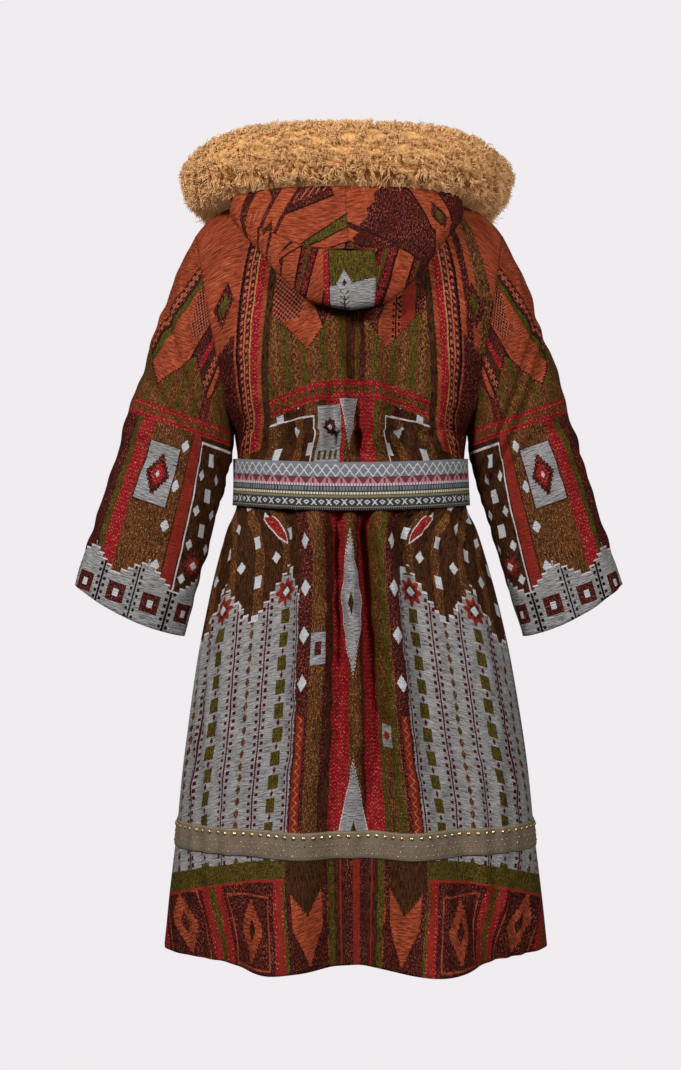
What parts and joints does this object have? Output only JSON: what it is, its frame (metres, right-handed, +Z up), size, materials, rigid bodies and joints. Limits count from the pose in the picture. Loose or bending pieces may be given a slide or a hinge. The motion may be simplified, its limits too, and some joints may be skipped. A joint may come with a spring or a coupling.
{
  "type": "jacquard coat",
  "caption": "Knee-length belted jacquard coat with a hood hanging down the back, a curly shearling trim, flared skirt and studded tape, filled out as worn.",
  "frame": {"origin": "middle of the neck opening at the height of the nape, where the wearer's neck and shoulders carry the coat", "axes": "+Z up along the wearer, +Y to the wearer's front, +X to the wearer's right, so the back of the coat faces -Y"},
  "size_m": [0.7468, 0.3632, 1.1001],
  "materials": {
    "jacquard": "crinkled woven jacquard with a slight lustre",
    "belt_tape": "firm patterned woven tape",
    "shearling": "curly lamb fur",
    "suede_tape": "matte tape with brass studs"
  },
  "bodies": {
    "root": {"back": "jacquard", "front_right": "jacquard", "front_left": "jacquard", "sleeve_right": "jacquard", "sleeve_left": "jacquard", "hood_right": "jacquard", "hood_left": "jacquard", "hood_gusset": "jacquard", "fur_trim": "shearling", "belt": "belt_tape", "hem_tape": "suede_tape"}
  },
  "joints": []
}
